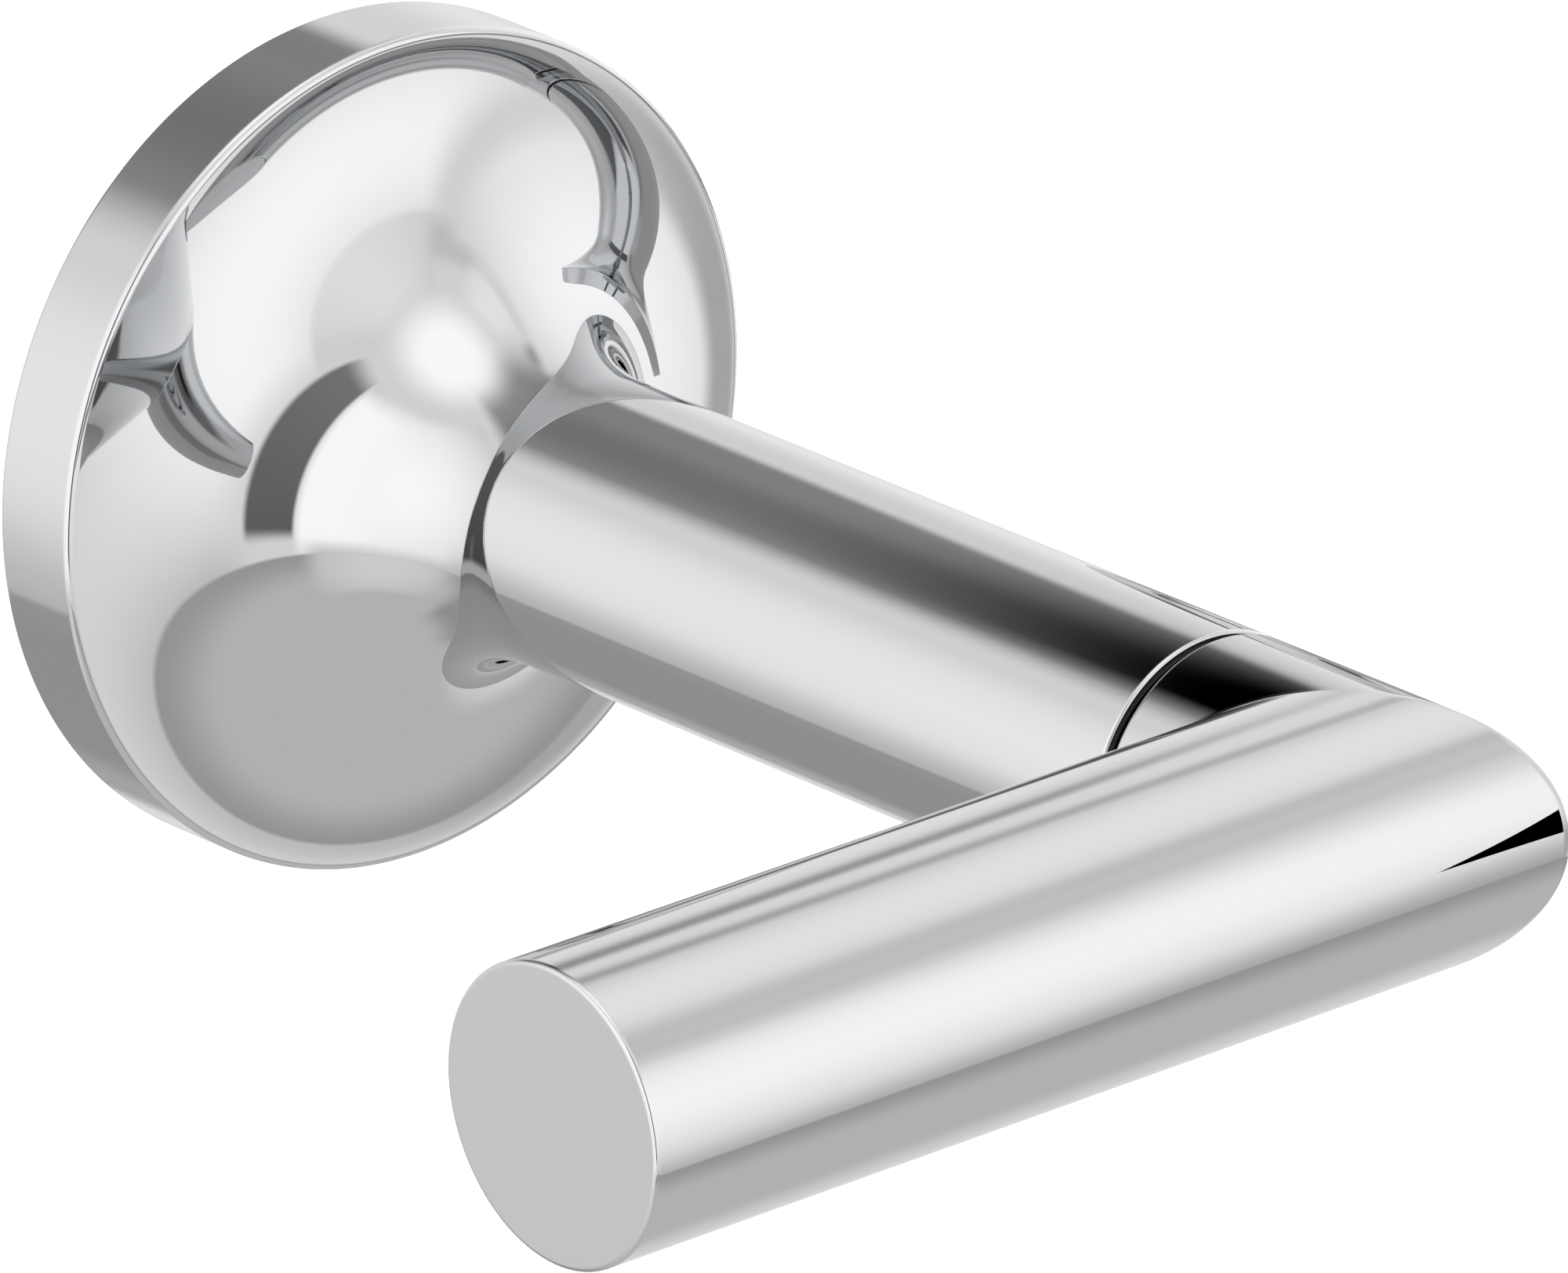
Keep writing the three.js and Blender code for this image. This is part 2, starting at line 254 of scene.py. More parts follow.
def hang(light, azimuth, height, box):
    # puts a softbox in front of the light there already
    left, right, lower, upper = (soft / 2 for soft in box["soften"])
    start, end = box["azimuth"]
    bottom, top = box["height"]
    half = (end - start) / 2
    across = (azimuth - (start + end) / 2).wrapped(-180, 180)
    along = (height - (bottom + top) / 2) / ((top - bottom) / 2)
    mask = across.stepped(-half - left, -half + left)
    mask = mask * (1 - across.stepped(half - right, half + right))
    mask = mask * height.stepped(bottom - lower, bottom + lower)
    mask = mask * (1 - height.stepped(top - upper, top + upper))
    full = lightFor(box["shade"])
    sideLoss, endLoss = (full - lightFor(box["shade"] - fall) for fall in box["fall"])
    shine = full - (across / half) ** 2 * sideLoss - along ** 2 * endLoss
    shine = shine + along * (lightFor(box["shade"] + box["lift"]) - full)
    return light + mask * (shine - light)


def makeStudio(s):
    world = bpy.data.worlds.new("studio")
    bpy.context.scene.world = world
    r = Recipe(world)
    direction = r.node("TexCoord", output="Generated")
    x, y, z = r.node("SeparateXYZ", inputs={"Vector": direction}, output=None)
    azimuth = x.maths("ARCTAN2", x, 0 - y) * math.degrees(1)
    height = z.maths("ARCSINE", z) * math.degrees(1)
    light = lightFor(s["gap"])
    high = height.stepped(s["ceilingFrom"], s["ceilingTo"])
    light = light + high * (lightFor(s["ceiling"]) - lightFor(s["gap"]))
    for box in s["walls"]:
        light = hang(light, azimuth, height, box)
    far = height.stepped(s["horizon"] - s["horizonFade"], s["horizon"])
    floorLight = lightFor(s["floor"])
    floorLight = floorLight + far * (lightFor(s["floorAtHorizon"]) - floorLight)
    ground = 1 - height.stepped(s["horizon"] - s["horizonEdge"], s["horizon"] + s["horizonEdge"])
    light = light + ground * (floorLight - light)
    for box in s["ground"]:
        light = hang(light, azimuth, height, box)
    # behind the object the room is dimmer, because chrome mirrors more of what only grazes it
    facing = r.node("VectorMath", {"operation": "DOT_PRODUCT"},
                    {0: direction, 1: s["behind"]}, output="Value")
    grazing = 1 - ((1 - facing) * 0.5) ** 0.5
    light = light / (1 + grazing ** 5 * (1 / chromeTint[1] - 1))
    room = r.node("Background", inputs={"Color": light})
    plain = r.node("Background", inputs={"Color": (s["backdrop"],) * 3})
    seen = r.node("LightPath", output="Is Camera Ray")
    both = r.node("MixShader", inputs={0: seen, 1: room, 2: plain})
    r.node("OutputWorld", inputs={"Surface": both}, output=None)


def makeFloor(s):
    # pale from above and clear from below, with no shading of its own in the chrome
    floor = bmesh.new()
    bmesh.ops.create_grid(floor, x_segments=1, y_segments=1, size=s["floorSize"] / 2)
    bmesh.ops.translate(floor, verts=floor.verts, vec=(0, 0, s["floorLevel"]))
    mesh = bpy.data.meshes.new("studio_floor")
    floor.to_mesh(mesh)
    floor.free()
    plane = bpy.data.objects.new("studio_floor", mesh)
    bpy.context.scene.collection.objects.link(plane)
    plane.visible_glossy = False           # the chrome sees the studio's own grey floor
    plane.visible_diffuse = False
    pale = bpy.data.materials.new("pale_floor")
    r = Recipe(pale)
    paint = r.node("BsdfDiffuse", inputs={"Color": s["floorPaint"]})
    lift = r.node("Emission", inputs={"Color": (s["backdrop"],) * 3})
    bright = r.node("AddShader", inputs={0: paint, 1: lift})
    clear = r.node("BsdfTransparent")
    below = r.node("NewGeometry", output="Backfacing")
    shown = r.node("MixShader", inputs={0: below, 1: bright, 2: clear})
    r.node("OutputMaterial", inputs={"Surface": shown}, output=None)
    mesh.materials.append(pale)


makeStudio(studioSetup)
makeFloor(studioSetup)
print("studio lit")


# Finishes
# Scales are how often a pattern repeats in a metre, and depths are what its bump stands for.
chromeSetup = {
    "roughness": 0.015,
    "haze": 0.02,                          # roughness that the polishing marks add
    "hazeSpread": (0.45, 0.75),
    "clouds": 60,
    "marks": 2600,
    "markStrength": 0.015,
    "markDepth": 0.01 * mm,
}
zincSetup = {
    "dark": (0.27, 0.28, 0.30),
    "light": (0.40, 0.41, 0.41),
    "patches": 450,                        # crystals of the plating
    "clouds": 120,
    "cloudShare": 0.6,
    "grain": 1800,
    "grainStrength": 0.12,
    "grainDepth": 0.05 * mm,
    "roughness": 0.26,
    "grainRoughness": 0.2,
}
turnedSetup = {                            # metal turned about the post's axis
    "rings": 42000,
    "ringStrength": 0.1,
    "ringDepth": 0.02 * mm,
    "ringRoughness": 0.03,
    "clouds": 220,
    "cloudRoughness": 0.12,
    "dark_steel": {"light": (0.24, 0.245, 0.26), "dark": (0.15, 0.153, 0.165), "roughness": 0.22},
    "brass": {"light": (0.52, 0.38, 0.15), "dark": (0.42, 0.29, 0.10), "roughness": 0.18},
}
nylonSetup = {
    "grain": 2500,
    "grainStrength": 0.15,
    "grainDepth": 0.04 * mm,
    "grainRoughness": 0.15,
    "clouds": 140,
    "black_nylon": {
        "light": (0.012, 0.012, 0.013), "dark": (0.005, 0.005, 0.006), "roughness": 0.42,
    },
    "grey_nylon": {
        "light": (0.24, 0.25, 0.265), "dark": (0.185, 0.19, 0.205), "roughness": 0.45,
    },
}


def makeFinish(name):
    material = bpy.data.materials.new(name)
    r = Recipe(material)
    where = r.node("TexCoord", output="Object")
    return material, r, where


def noiseOver(r, where, scale, detail):
    return r.node("TexNoise", inputs={"Vector": where, "Scale": scale, "Detail": detail})


def bumpFrom(r, height, strength, depth):
    return r.node("Bump", inputs={"Height": height, "Strength": strength, "Distance": depth})


def finishWith(r, inputs):
    surface = r.node("BsdfPrincipled", inputs=inputs)
    r.node("OutputMaterial", inputs={"Surface": surface}, output=None)


def makeChrome(s):
    material, r, where = makeFinish("polished_chrome")
    cloud = noiseOver(r, where, s["clouds"], 3)
    fine = noiseOver(r, where, s["marks"], 2)
    finishWith(r, {
        "Base Color": chromeTint,
        "Metallic": 1,
        "Roughness": s["roughness"] + s["haze"] * cloud.stepped(*s["hazeSpread"]) * fine,
        "Normal": bumpFrom(r, fine, s["markStrength"], s["markDepth"]),
    })
    return material


def makeZinc(s):
    material, r, where = makeFinish("zinc_steel")
    patches = r.node("TexVoronoi", inputs={"Vector": where, "Scale": s["patches"]}, output="Color")
    grain = noiseOver(r, where, s["grain"], 4)
    cloud = noiseOver(r, where, s["clouds"], 3)
    spangle = s["cloudShare"] * cloud + (1 - s["cloudShare"]) * patches
    finishWith(r, {
        "Base Color": r.mixed(spangle, s["dark"], s["light"]),
        "Metallic": 1,
        "Roughness": s["roughness"] + s["grainRoughness"] * grain,
        "Normal": bumpFrom(r, grain, s["grainStrength"], s["grainDepth"]),
    })
    return material


def makeTurnedMetal(s, name):
    # fine rings of tool marks
    metal = s[name]
    material, r, where = makeFinish(name)
    x, y, z = r.node("SeparateXYZ", inputs={"Vector": where}, output=None)
    radius = (x * x + z * z) ** 0.5
    rings = x.maths("SINE", (radius + y) * s["rings"])
    cloud = noiseOver(r, where, s["clouds"], 4)
    finishWith(r, {
        "Base Color": r.mixed(cloud, metal["dark"], metal["light"]),
        "Metallic": 1,
        "Roughness": metal["roughness"] + s["cloudRoughness"] * cloud + s["ringRoughness"] * rings,
        "Normal": bumpFrom(r, rings, s["ringStrength"], s["ringDepth"]),
    })
    return material


def makeNylon(s, name):
    nylon = s[name]
    material, r, where = makeFinish(name)
    grain = noiseOver(r, where, s["grain"], 3)
    cloud = noiseOver(r, where, s["clouds"], 3)
    finishWith(r, {
        "Base Color": r.mixed(cloud, nylon["dark"], nylon["light"]),
        "Roughness": nylon["roughness"] + s["grainRoughness"] * grain,
        "Normal": bumpFrom(r, grain, s["grainStrength"], s["grainDepth"]),
    })
    return material


chrome = makeChrome(chromeSetup)
zincSteel = makeZinc(zincSetup)
darkSteel = makeTurnedMetal(turnedSetup, "dark_steel")
brass = makeTurnedMetal(turnedSetup, "brass")
blackNylon = makeNylon(nylonSetup, "black_nylon")
greyNylon = makeNylon(nylonSetup, "grey_nylon")
print("finishes mixed")


# Modelling helpers
spinSteps = {"chrome": 256, "bracket": 96, "hardware": 64, "hole": 48, "thread": 32}
nearness = {                               # metres
    "point": 1e-7,                         # points this close become one
    "join": 1e-6,                          # the same where two halves or two turns meet
    "plane": 1e-8,
}
overshoot = 1 * mm                         # how far a cutting shape reaches past what it cuts
threadProfile = (                          # shares of the pitch and of the thread's depth
    (0, 0), (0.2, 0), (0.45, 1), (0.55, 1), (0.8, 0), (1, 0),
)


def softOutline(corners, steps=5, guard=0.12 * mm):
    # corners are (radius, depth, rounding): each rounded one becomes an arc, and a point just past
    # each end of it keeps the shading of the straight beside it flat
    points = []
    for i, (radius, depth, rounding) in enumerate(corners):
        here = Vector((radius, depth))
        if not rounding:
            points.append(here)
            continue
        before = Vector(corners[i - 1][:2]) - here
        after = Vector(corners[(i + 1) % len(corners)][:2]) - here
        half = before.angle(after) / 2
        cut = rounding / math.tan(half)
        start, end = (here + leg.normalized() * cut for leg in (before, after))
        inward = (before.normalized() + after.normalized()).normalized()
        middle = here + inward * rounding / math.sin(half)
        if before.length > cut + 2 * guard:
            points.append(start + before.normalized() * guard)
        swing = (start - middle).angle_signed(end - middle)
        for k in range(steps + 1):
            turn = Matrix.Rotation(-swing * k / steps, 2)
            points.append(middle + turn @ (start - middle))
        if after.length > cut + 2 * guard:
            points.append(end + after.normalized() * guard)
    return points


def spunShell(outline, steps, closed=True):
    # an outline of (radius, depth) spun about the post's axis, where depth counts along -Y
    shell = bmesh.new()
    ring = [shell.verts.new((radius, -depth, 0)) for radius, depth in outline]
    pairs = list(zip(ring, ring[1:]))
    if closed:
        pairs.append((ring[-1], ring[0]))
    for a, b in pairs:
        shell.edges.new((a, b))
    bmesh.ops.spin(shell, geom=shell.verts[:] + shell.edges[:], axis=(0, 1, 0), cent=(0, 0, 0),
                   angle=math.tau, steps=steps, use_merge=True)
    bmesh.ops.remove_doubles(shell, verts=shell.verts, dist=nearness["point"])
    bmesh.ops.recalc_face_normals(shell, faces=shell.faces)
    return shell


def asObject(shell, name):
    mesh = bpy.data.meshes.new(name)
    shell.to_mesh(mesh)
    shell.free()
    thing = bpy.data.objects.new(name, mesh)
    bpy.context.scene.collection.objects.link(thing)
    return thing


def combined(shell, cut=(), joined=()):
    # the shell with some closed shapes joined to it and others cut out of it
    main = asObject(shell, "main")
    tools = [asObject(tool, "tool") for tool in (*joined, *cut)]
    for i, tool in enumerate(tools):
        change = main.modifiers.new("change", "BOOLEAN")
        change.operation = "UNION" if i < len(joined) else "DIFFERENCE"
        change.solver = "EXACT"
        change.object = tool
    result = bmesh.new()
    result.from_object(main, bpy.context.evaluated_depsgraph_get())
    for thing in [main, *tools]:
        spare = thing.data
        bpy.data.objects.remove(thing)
        bpy.data.meshes.remove(spare)
    bmesh.ops.remove_doubles(result, verts=result.verts, dist=nearness["point"])
    gaps = [edge for edge in result.edges if edge.is_boundary]
    bmesh.ops.holes_fill(result, edges=gaps, sides=0)
    return result


def plainRod(radius, start, end, steps=spinSteps["hole"]):
    outline = [(0, start), (radius, start), (radius, end), (0, end)]
    return spunShell(outline, steps, closed=False)


def plainBlock(size, middle):
    block = bmesh.new()
    bmesh.ops.create_cube(block, size=1)
    bmesh.ops.scale(block, verts=block.verts, vec=size)
    bmesh.ops.translate(block, verts=block.verts, vec=middle)
    return block


def moved(shell, matrix):
    bmesh.ops.transform(shell, matrix=matrix, verts=shell.verts)
    return shell


def sliced(shell, point, outward, dropped=True):
    # the shell cut by a plane, with what lies outward of it dropped
    whole = shell.verts[:] + shell.edges[:] + shell.faces[:]
    bmesh.ops.bisect_plane(shell, geom=whole, dist=nearness["plane"], plane_co=point,
                           plane_no=outward, clear_outer=dropped)
    return shell


def softened(shell, edges, offset):
    bmesh.ops.bevel(shell, geom=edges, offset=offset, offset_type="OFFSET", segments=3,
                    profile=0.5, affect="EDGES", material=-1)
    return shell


def threadedRod(radius, start, end, thread):
    # a rod about the post's axis with a helical thread: thread is (pitch, depth of its groove)
    pitch, groove = thread
    steps = spinSteps["thread"]
    turns = math.ceil((end - start) / pitch) + 2
    shell = bmesh.new()
    chain = [
        shell.verts.new((radius - groove * (1 - crest), -(start + pitch * (share - 1)), 0))
        for share, crest in threadProfile
    ]
    for a, b in zip(chain, chain[1:]):
        shell.edges.new((a, b))
    bmesh.ops.spin(shell, geom=shell.verts[:] + shell.edges[:], axis=(0, 1, 0), cent=(0, 0, 0),
                   dvec=(0, -pitch / steps, 0), angle=math.tau * turns, steps=steps * turns)
    bmesh.ops.remove_doubles(shell, verts=shell.verts, dist=nearness["join"])
    for depth, outward in ((start, 1), (end, -1)):
        sliced(shell, (0, -depth, 0), (0, outward, 0))
        rim = [edge for edge in shell.edges if edge.is_boundary
               and all(abs(vert.co.y + depth) < nearness["point"] for vert in edge.verts)]
        bmesh.ops.edgeloop_fill(shell, edges=rim)
    bmesh.ops.recalc_face_normals(shell, faces=shell.faces)
    return shell


def addPiece(shell, name, body, material, replaced, crease=32):
    # edges that bend by more than the crease, in degrees, stay sharp
    for face in shell.faces:
        face.smooth = True
    limit = math.radians(crease)
    for edge in shell.edges:
        edge.smooth = len(edge.link_faces) == 2 and edge.calc_face_angle(0) < limit
    piece = asObject(shell, name)
    piece.data.materials.append(material)
    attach(piece, body)
    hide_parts(replaced)


def onlyMirrored(thing):
    # a stage prop that shows in the chrome and nowhere else
    thing.visible_camera = False
    thing.visible_diffuse = False
    thing.visible_shadow = False


setScrewLow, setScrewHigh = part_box("set_screw")
setScrewDepth = -(setScrewLow.y + setScrewHigh.y) / 2
# turns what lies along the post onto the set screw's line
pointingDown = (
    Matrix.Translation((0, -setScrewDepth, 0))
    @ Matrix.Rotation(math.radians(90), 4, "X")
)


# Flange and post
flangeSetup = {
    "rimThickness": 8.4 * mm,              # the straight round edge
    "rimRounding": 0.55 * mm,
    "backRounding": 0.3 * mm,
    "endRounding": 0.3 * mm,               # at the seam
    "bellDepth": 30.4 * mm,                # where the bell has become the plain post
    "flareAngle": 1.8,                     # degrees that the bell rises where it leaves the rim
    "flareReach": 10.6 * mm,
    "flareRise": 14 * mm,
    "bellSteps": 90,
    "insideEvery": 3,                      # the inside takes every third of them
    "postGuard": 0.3 * mm,                 # from the bell's end to the first ring of the post
    "castWall": 3 * mm,
    "collarSeat": 10.55 * mm,              # radius of the bush's seat in the post's end
    "seatDepth": 2.55 * mm,
    "lugWidth": 11 * mm,                   # the lug inside that takes the set screw
    "lugGap": 0.5 * mm,                    # between the lug and the bracket
    "lugOffWall": 0.6 * mm,
    "lugSink": 0.4,                        # how deep it sits in the rim, as a share of the wall
    "lugRounding": 0.8 * mm,
    "holeRadius": 2.55 * mm,
}


def bellCurve(s, inset=0.0):
    # a cubic curve from the rim to the post, as (radius, depth)
    rise = math.radians(s["flareAngle"])
    rimPoint = Vector((flangeRadius - s["rimRounding"], s["rimThickness"]))
    postPoint = Vector((postRadius, s["bellDepth"]))
    handles = [
        rimPoint,
        rimPoint + Vector((-math.cos(rise), math.sin(rise))) * s["flareReach"],
        postPoint - Vector((0, s["flareRise"])),
        postPoint,
    ]
    points = []
    for k in range(s["bellSteps"] + 1):
        u = k / s["bellSteps"]
        weights = ((1 - u) ** 3, 3 * u * (1 - u) ** 2, 3 * u * u * (1 - u), u ** 3)
        point = sum((w * h for w, h in zip(weights, handles)), Vector((0, 0)))
        points.append((point.x - inset, point.y - inset))
    return points


def makeFlange(s):
    rim = flangeRadius
    front = bellCurve(s)
    inside = bellCurve(s, s["castWall"])
    corners = [(rim, 0, s["backRounding"]), (rim, s["rimThickness"], s["rimRounding"])]
    corners += [(radius, depth, 0) for radius, depth in front[1:]]
    corners += [
        (postRadius, s["bellDepth"] + s["postGuard"], 0),
        (postRadius, seamNear, s["endRounding"]),
        (s["collarSeat"], seamNear, 0),
        (s["collarSeat"], seamNear - s["seatDepth"], 0),
        (postRadius - s["castWall"], seamNear - s["seatDepth"], 0),
    ]
    corners += [(radius, depth, 0) for radius, depth in reversed(inside[::s["insideEvery"]])]
    corners.append((inside[0][0], 0, 0))
    casting = spunShell(softOutline(corners), spinSteps["chrome"])
    lugTop = bracketRadius + s["lugGap"]
    lugBottom = rim - s["castWall"] * (1 - s["lugSink"])
    lugHeight = s["rimThickness"] - s["castWall"]
    middle = (0, -s["lugOffWall"] - lugHeight / 2, -(lugTop + lugBottom) / 2)
    lug = plainBlock((s["lugWidth"], lugHeight, lugBottom - lugTop), middle)
    softened(lug, lug.edges[:], s["lugRounding"])
    hole = plainRod(s["holeRadius"], lugTop - overshoot, rim + overshoot)
    shell = combined(casting, cut=[moved(hole, pointingDown)], joined=[lug])
    addPiece(shell, "flange_and_post", "wall_unit", chrome, "flange_post")


makeFlange(flangeSetup)
print("flange and post spun")


# Arm
armSetup = {
    "wall": 1.8 * mm,
    "stubRounding": 0.3 * mm,              # at the seam
    "faceRounding": 0.35 * mm,             # round the end face
    "mitreRounding": 0.12 * mm,            # offset of the bevel along the mitre
    "mitreGuard": 0.5 * mm,                # from the mitre to the first ring beside it
    "mitreSkin": 0.1 * mm,                 # how near the outside an edge counts as on it
    "mitreCrease": 50,
    "capSpigot": 5 * mm,
    "capClearance": 0.05 * mm,
}

corner = Vector((0, -wallToArm, 0))
mitreAcross = Vector((1, 1, 0)).normalized()
ontoArm = (                                # reflects the stub's line onto the arm's
    Matrix.Translation(corner)
    @ Matrix.Scale(-1, 4, mitreAcross)
    @ Matrix.Translation(-corner)
)


def halfTube(start, rounding, s):
    # a straight tube along the post's axis, open where the mitre cuts it
    bore = postRadius - s["wall"]
    past = wallToArm + 2 * postRadius
    shell = spunShell(softOutline([
        (bore, past, 0),
        (bore, start, 0),
        (postRadius, start, rounding),
        (postRadius, past, 0),
    ]), spinSteps["chrome"])
    sliced(shell, corner, -mitreAcross)
    return sliced(shell, corner + mitreAcross * s["mitreGuard"], -mitreAcross, dropped=False)


def makeArmTube(s):
    stub = halfTube(seamFar, s["stubRounding"], s)
    tube = moved(halfTube(wallToArm - tubeEnd, 0, s), ontoArm)
    spare = bpy.data.meshes.new("spare")
    tube.to_mesh(spare)
    tube.free()
    stub.from_mesh(spare)
    bpy.data.meshes.remove(spare)
    bmesh.ops.remove_doubles(stub, verts=stub.verts, dist=nearness["join"])
    bmesh.ops.recalc_face_normals(stub, faces=stub.faces)
    return stub


def makeArm(s):
    shell = makeArmTube(s)
    mitre = []
    for edge in shell.edges:
        ends = [vert.co - corner for vert in edge.verts]
        onPlane = all(abs(end.dot(mitreAcross)) < nearness["join"] for end in ends)
        outside = all(math.hypot(end.x, end.z) > postRadius - s["mitreSkin"] for end in ends)
        if onPlane and outside:
            mitre.append(edge)
    softened(shell, mitre, s["mitreRounding"])
    addPiece(shell, "arm_tube", "arm", chrome, "arm_elbow", s["mitreCrease"])


def makeArmEnd(s):
    spigot = postRadius - s["wall"] - s["capClearance"]
    shoulder = wallToArm - tubeEnd
    face = wallToArm - armReach
    shell = spunShell(softOutline([
        (0, face, 0),
        (postRadius, face, s["faceRounding"]),
        (postRadius, shoulder, 0),
        (spigot, shoulder, 0),
        (spigot, shoulder + s["capSpigot"], 0),
        (0, shoulder + s["capSpigot"], 0),
    ]), spinSteps["chrome"], closed=False)
    moved(shell, ontoArm)
    bmesh.ops.recalc_face_normals(shell, faces=shell.faces)
    addPiece(shell, "arm_end", "arm", chrome, "arm_end_cap")


makeArm(armSetup)
makeArmEnd(armSetup)
print("arm bent and capped")


# Wall hardware
def screwOffset(node):
    low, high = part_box(node)
    return Matrix.Translation((0, 0, (low.z + high.z) / 2))


bracketSetup = {
    "plate": 2.5 * mm,
    "lip": 2.2 * mm,                       # thickness of the raised lip
    "undercut": 1.2 * mm,                  # how far the lip leans in at the wall
    "rounding": 0.3 * mm,
    "holeRadius": 2.25 * mm,
}


def makeBracket(s):
    height = -bracketLow.y
    inner = bracketRadius - s["lip"]
    plate = spunShell(softOutline([
        (0, 0, 0),
        (bracketRadius - s["undercut"], 0, s["rounding"]),
        (bracketRadius, height, s["rounding"]),
        (inner, height, s["rounding"]),
        (inner, s["plate"], s["rounding"]),
        (0, s["plate"], 0),
    ], steps=3), spinSteps["bracket"], closed=False)
    holes = []
    for node in ("wall_screw_upper", "wall_screw_lower"):
        hole = plainRod(s["holeRadius"], -overshoot, s["plate"] + overshoot)
        holes.append(moved(hole, screwOffset(node)))
    shell = combined(plate, cut=holes)
    addPiece(shell, "bracket_plate", "wall_unit", zincSteel, "wall_bracket")


woodScrewSetup = {
    "radius": 2 * mm,
    "thread": (1.8 * mm, 0.55 * mm),       # pitch and depth
    "point": 4 * mm,
    "pointShare": 0.06,                    # what the point keeps of the radius at its very end
    "shankSink": 0.2 * mm,                 # how far the shank reaches into the head
    "headRadius": 3.8 * mm,
    "headHeight": 2.6 * mm,
    "headTop": 0.75,                       # the flat top as a share of the head
    "headRounding": 0.35 * mm,
    "crossWidth": 1 * mm,
    "crossSpan": 4.2 * mm,
    "crossDepth": 1.6 * mm,
    "crossTaper": 0.55,                    # its size at the bottom as a share of the top's
}


def makeWoodScrew(s, node, name):
    low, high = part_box(node)
    top = -low.y
    seat = top - s["headHeight"]
    reach = high.y
    shank = threadedRod(s["radius"], -reach, seat + s["shankSink"], s["thread"])
    head = spunShell(softOutline([
        (0, seat, 0),
        (s["headRadius"], seat, s["headRounding"]),
        (s["headRadius"], seat + s["headHeight"] / 2, s["headRounding"]),
        (s["headRadius"] * s["headTop"], top, s["headRounding"]),
        (0, top, 0),
    ], steps=3), spinSteps["hardware"], closed=False)
    bars = []
    for wide, tall in ((s["crossSpan"], s["crossWidth"]), (s["crossWidth"], s["crossSpan"])):
        bar = plainBlock((wide, 2 * s["crossDepth"], tall), (0, -top, 0))
        for vert in bar.verts:             # the recess narrows towards its bottom
            if vert.co.y > -top:
                vert.co.x *= s["crossTaper"]
                vert.co.z *= s["crossTaper"]
        bars.append(bar)
    shell = combined(head, cut=bars, joined=[shank])
    for vert in shell.verts:               # the point
        share = max(s["pointShare"], min(1, (reach - vert.co.y) / s["point"]))
        vert.co.x *= share
        vert.co.z *= share
    moved(shell, screwOffset(node))
    addPiece(shell, name, "wall_unit", zincSteel, node)


wallPlugSetup = {
    "bore": 2.05 * mm,
    "wall": 1 * mm,
    "collar": 0.9 * mm,
    "ribs": 7,
    "ribDepth": 0.35 * mm,
    "ribStep": 0.1 * mm,                   # from the collar's end or a rib's root to its rise
    "ribGap": 0.3 * mm,                    # left between one rib's crest and the next rib's root
    "slit": 0.8 * mm,
    "whole": 7 * mm,                       # length that isn't slit
}


def makeWallPlug(s, node, name):
    low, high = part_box(node)
    end = high.y
    start = max(0, low.y)
    outside = s["bore"] + s["wall"]
    root = outside - s["ribDepth"]
    neck = start + s["collar"]
    outline = [(s["bore"], -start), (outside + s["collar"], -start), (outside, -neck)]
    pitch = (end - neck) / (s["ribs"] + 1)
    for rib in range(s["ribs"]):
        foot = neck + pitch * (rib + 0.5)
        outline.append((root, -foot - s["ribStep"]))
        outline.append((outside, -foot - pitch + s["ribGap"]))
    outline += [(root, -end), (s["bore"], -end)]
    sleeve = spunShell(outline, spinSteps["hardware"])
    length = end - s["whole"] + overshoot
    slit = plainBlock((4 * outside, length, s["slit"]), (0, s["whole"] + length / 2, 0))
    shell = moved(combined(sleeve, cut=[slit]), screwOffset(node))
    addPiece(shell, name, "wall_unit", greyNylon, node)


setScrewSetup = {
    "radius": 2.5 * mm,
    "thread": (0.8 * mm, 0.3 * mm),        # pitch and depth
    "tip": 1.2 * mm,                       # radius of its flat end
    "socket": 1.45 * mm,                   # corner radius of its hexagon
    "socketDepth": 2.5 * mm,
}


def makeSetScrew(s):
    tip, end = -setScrewHigh.z, -setScrewLow.z
    body = threadedRod(s["radius"], tip, end, s["thread"])
    chamfer = s["radius"] - s["tip"]
    for vert in body.verts:
        past = -vert.co.y - tip
        if past < chamfer:
            share = min(1, (s["tip"] + max(0, past)) / s["radius"])
            vert.co.x *= share
            vert.co.z *= share
    socket = plainRod(s["socket"], end - s["socketDepth"], end + overshoot, steps=6)
    shell = moved(combined(body, cut=[socket]), pointingDown)
    addPiece(shell, "grub_screw", "wall_unit", darkSteel, "set_screw")


makeBracket(bracketSetup)
for end in ("upper", "lower"):
    makeWoodScrew(woodScrewSetup, "wall_screw_" + end, "wood_screw_" + end)
    makeWallPlug(wallPlugSetup, "wall_plug_" + end, "plug_sleeve_" + end)
makeSetScrew(setScrewSetup)
print("wall hardware made")


# Seam
seamSetup = {
    "bore": 4.05 * mm,
    "rounding": 0.12 * mm,
    "guard": 0.02 * mm,
    "pinClearance": 0.05 * mm,
}


def makeSeamWasher(s):
    start, end, edge = -washerHigh.y, -washerLow.y, washerHigh.x
    shell = spunShell(softOutline([
        (s["bore"], start, 0),
        (edge, start, s["rounding"]),
        (edge, end, s["rounding"]),
        (s["bore"], end, 0),
    ], steps=3, guard=s["guard"]), spinSteps["chrome"])
    pinLow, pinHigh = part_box("stop_pin")
    pinRoom = (pinHigh.x - pinLow.x) / 2 + s["pinClearance"]
    pinPlace = Matrix.Translation((0, 0, (pinLow.z + pinHigh.z) / 2))
    hole = moved(plainRod(pinRoom, start - overshoot, end + overshoot), pinPlace)
    shell = combined(shell, cut=[hole])
    addPiece(shell, "seam_washer", "arm", blackNylon, "thrust_washer")


makeSeamWasher(seamSetup)
print("seam washer fitted")


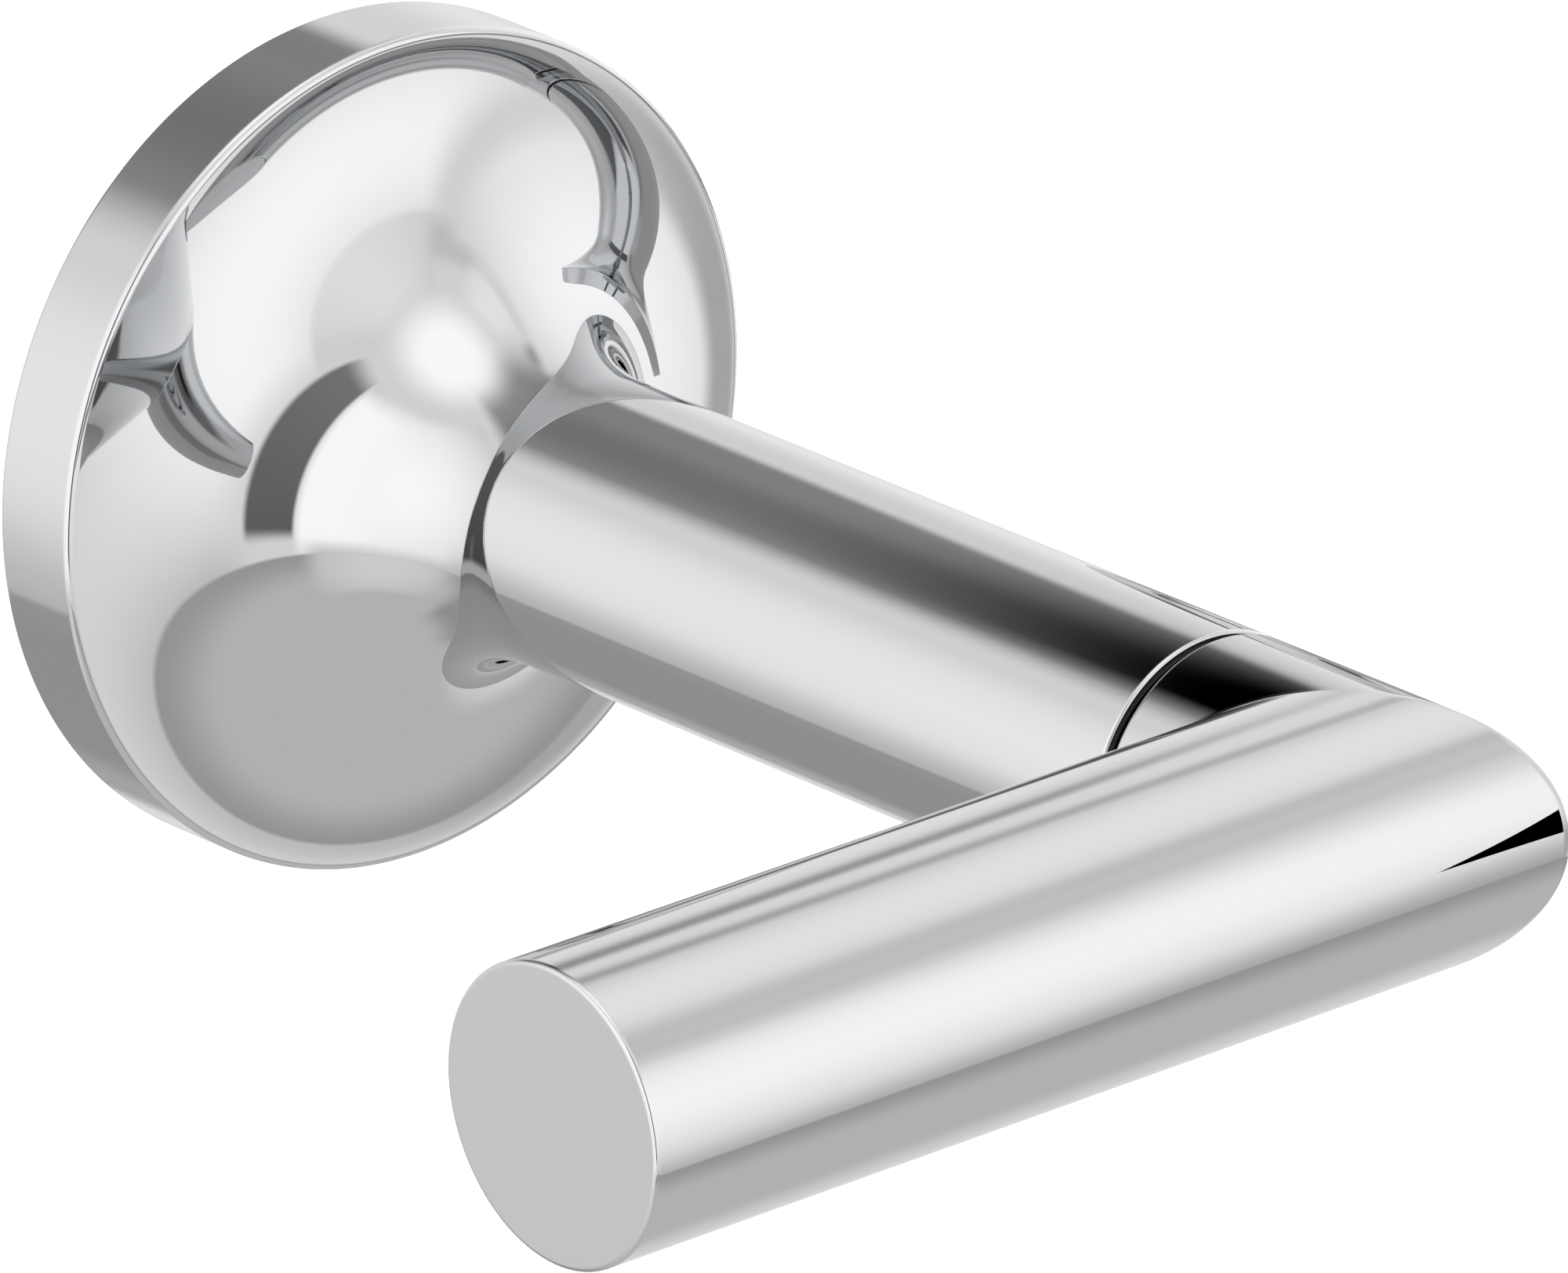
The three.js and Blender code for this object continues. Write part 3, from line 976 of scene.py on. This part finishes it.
# Flags: black sheets seen only in the chrome, which paint dark reflections into it
paintedReflectionSetup = {
    # dark panel above the flange, seen only in the chrome, paints a dark reflection on the top of
    # the post and stub that deepens towards the seam: its corners, the heights between which it
    # darkens, and where its left and right edges soften
    "panel": ((-60 * mm, 55 * mm), (160 * mm, 165 * mm)),
    "fade": (60 * mm, 124 * mm),
    "sides": (-50 * mm, -18 * mm, 75 * mm, 120 * mm),
    "slant": (0.31, 0.43),                 # it fades out for light that meets it at a slant
    # dark triangle below the corner, seen only in the chrome, paints a dark reflected wedge on the
    # arm near the corner
    "sliver": (
        (9.65 * mm, -144.86 * mm, -3.5 * mm),
        (17.9 * mm, -138.7 * mm, -2.1 * mm),
        (18.2 * mm, -139.5 * mm, 2.3 * mm),
    ),
}


def addPaintedReflection(shell, name, material):
    # a black sheet that paints a dark reflection into the chrome
    flag = asObject(shell, name)
    flag.data.materials.append(material)
    onlyMirrored(flag)


def makePaintedReflectionPanel(s):
    (left, bottom), (right, top) = s["panel"]
    panel = bmesh.new()
    bmesh.ops.create_grid(panel, x_segments=1, y_segments=1, size=0.5)
    bmesh.ops.scale(panel, verts=panel.verts, vec=(right - left, top - bottom, 1))
    moved(panel, Matrix.Translation(((left + right) / 2, 0, (top + bottom) / 2))
          @ Matrix.Rotation(math.radians(90), 4, "X"))
    material, r, where = makeFinish("dark_panel")
    x, _, z = r.node("SeparateXYZ", inputs={"Vector": where}, output=None)
    outerLeft, innerLeft, innerRight, outerRight = s["sides"]
    mask = z.stepped(*s["fade"])
    mask = mask * x.stepped(outerLeft, innerLeft) * (1 - x.stepped(innerRight, outerRight))
    slant = r.node("LayerWeight", inputs={"Blend": 0.5}, output="Facing")
    mask = mask * (1 - slant.stepped(*s["slant"]))
    # the black share of the panel paints a dark reflection, deeper higher up
    clear = r.node("BsdfTransparent")
    black = r.node("BsdfTransparent", inputs={"Color": (0, 0, 0)})
    shown = r.node("MixShader", inputs={0: mask, 1: clear, 2: black})
    r.node("OutputMaterial", inputs={"Surface": shown}, output=None)
    addPaintedReflection(panel, "dark_panel", material)


def makePaintedReflectionSliver(s):
    sliver = bmesh.new()
    corners = [sliver.verts.new(corner) for corner in s["sliver"]]
    bmesh.ops.contextual_create(sliver, geom=corners)
    material = bpy.data.materials.new("painted_reflection_card")
    r = Recipe(material)
    # a black card that paints a dark reflection into the arm near the corner
    black = r.node("BsdfTransparent", inputs={"Color": (0, 0, 0)})
    r.node("OutputMaterial", inputs={"Surface": black}, output=None)
    addPaintedReflection(sliver, "dark_sliver", material)


makePaintedReflectionPanel(paintedReflectionSetup)
makePaintedReflectionSliver(paintedReflectionSetup)
print("flags hung")


# Neighbour
# A second holder hangs beside the first, and shows only in the chrome.
neighbourSetup = {
    "sideways": 125 * mm,
    "pieces": ("flange_and_post", "arm_tube", "arm_end"),
}


def makeNeighbour(s):
    for name in s["pieces"]:
        twin = bpy.data.objects.new("neighbour_" + name, bpy.data.objects[name].data)
        bpy.context.scene.collection.objects.link(twin)
        twin.location.x = s["sideways"]
        onlyMirrored(twin)


makeNeighbour(neighbourSetup)
print("neighbour hung")


# Looks of the frame's own nodes
nodeFinishes = {
    "pivot_bush": brass,
    "elbow_plug": brass,
    "spindle": zincSteel,
    "stop_pin": darkSteel,
    "wave_washer": darkSteel,
    "flat_washer": zincSteel,
    "lock_nut": zincSteel,
}

for name, finish in nodeFinishes.items():
    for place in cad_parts[name].material_slots:
        place.material = finish
print("frame's own nodes finished")
